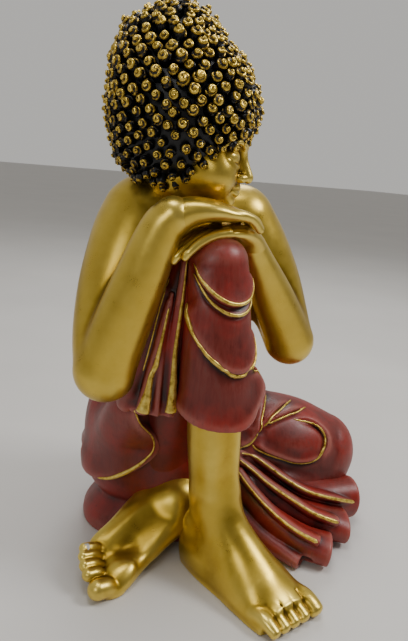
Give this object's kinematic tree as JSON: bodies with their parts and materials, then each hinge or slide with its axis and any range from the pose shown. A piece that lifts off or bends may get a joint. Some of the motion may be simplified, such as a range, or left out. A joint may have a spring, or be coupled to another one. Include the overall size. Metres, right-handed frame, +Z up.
{
  "type": "seated resting buddha statue",
  "caption": "Seated figure with curled hair resting its head on crossed hands over one raised knee, other leg folded flat, in a draped robe; hollow bonded castings on a closed base.",
  "frame": {"origin": "middle of the footprint, on the surface the figure stands on", "axes": "+Z up; the figure faces -Y, and its left hand is towards +X"},
  "size_m": [0.4254, 0.3704, 0.6093],
  "materials": {
    "gold_paint": "satin metallic gold paint over cast resin, rubbed darker in the hollows",
    "robe_paint": "satin dark red paint with darker brushed wear and raised gold hems",
    "hair_paint": "satin black paint with gold rubbed on the tips of the curls",
    "bare_resin": "unpainted filled resin"
  },
  "bodies": {
    "root": {"hair_cap": "hair_paint", "head_shell": "gold_paint", "torso_shell": "gold_paint", "right_arm": "gold_paint", "left_arm": "gold_paint", "right_hand": "gold_paint", "left_hand": "gold_paint", "right_leg": "gold_paint", "left_foot": "gold_paint", "knee_drape": "robe_paint", "side_pleats": "robe_paint", "raised_thigh": "robe_paint", "folded_leg": "robe_paint", "hip_shell": "robe_paint", "hem_fan": "robe_paint", "base_plate": "bare_resin"}
  },
  "joints": []
}
